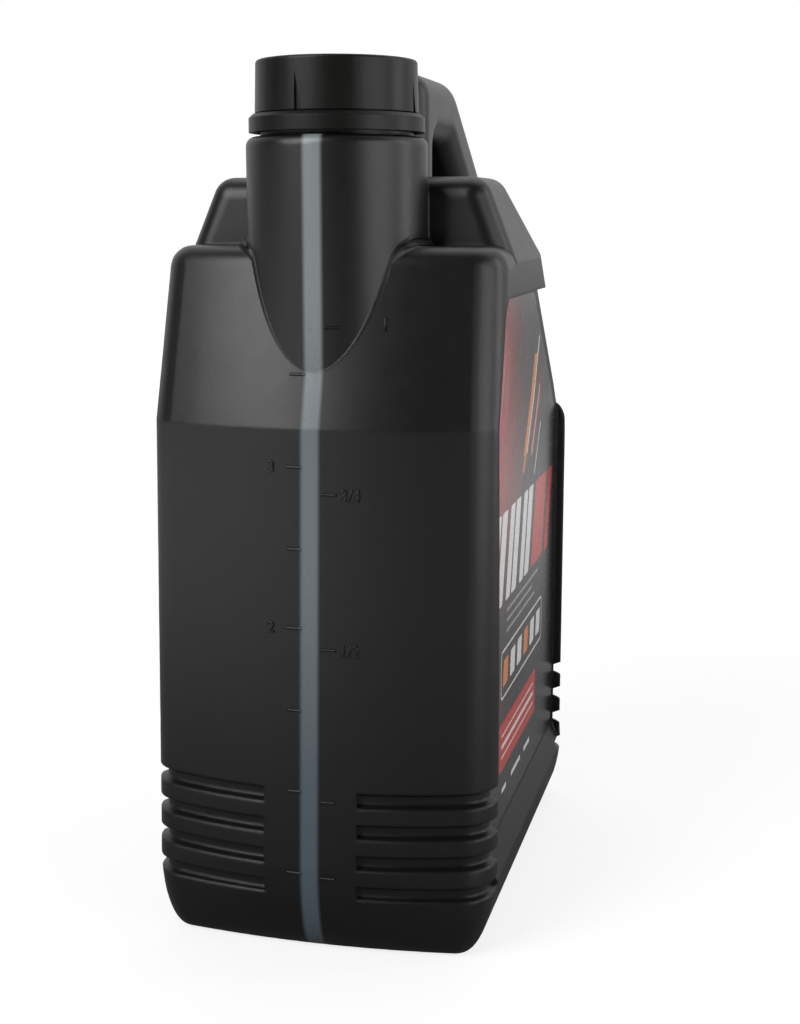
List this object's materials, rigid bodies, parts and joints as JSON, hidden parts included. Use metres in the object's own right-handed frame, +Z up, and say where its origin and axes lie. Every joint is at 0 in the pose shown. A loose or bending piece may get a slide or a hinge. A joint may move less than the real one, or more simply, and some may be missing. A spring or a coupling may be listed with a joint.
{
  "type": "motor oil bottle",
  "caption": "Large black plastic oil jug with a hollow grip, a tall round neck, a screw cap with a tamper band, rib grooves and a label panel on each side.",
  "frame": {"origin": "middle of the flat base, under the centre of the bounding box", "axes": "+Z up, -X the narrow pouring face with the neck, +X the grip end, -Y the front label, +Y the back label"},
  "size_m": [0.185, 0.1154, 0.2845],
  "materials": {
    "body_plastic": "satin",
    "cap_plastic": "satin",
    "band_plastic": "satin",
    "liner_foam": "matte",
    "label_film": "gloss"
  },
  "bodies": {
    "bottle": {"bottle": "body_plastic", "tamper_band": "band_plastic", "front_label": "label_film", "back_label": "label_film"},
    "seal": {"cap_liner": "liner_foam"},
    "cap": {"cap": "cap_plastic"}
  },
  "joints": [
    {"name": "cap_lift", "type": "slide", "parent": "bottle", "child": "seal", "axis": [0, 0, 1], "range_m": [0, 0.009]},
    {"name": "cap_turn", "type": "hinge", "parent": "seal", "child": "cap", "pos_m": [-0.0535, 0, 0.275], "axis": [0, 0, 1], "range_deg": [0, 540]}
  ],
  "couplings": [
    {"joint": "cap_lift", "follows": "cap_turn", "m_per_rad": 0.00095493}
  ]
}
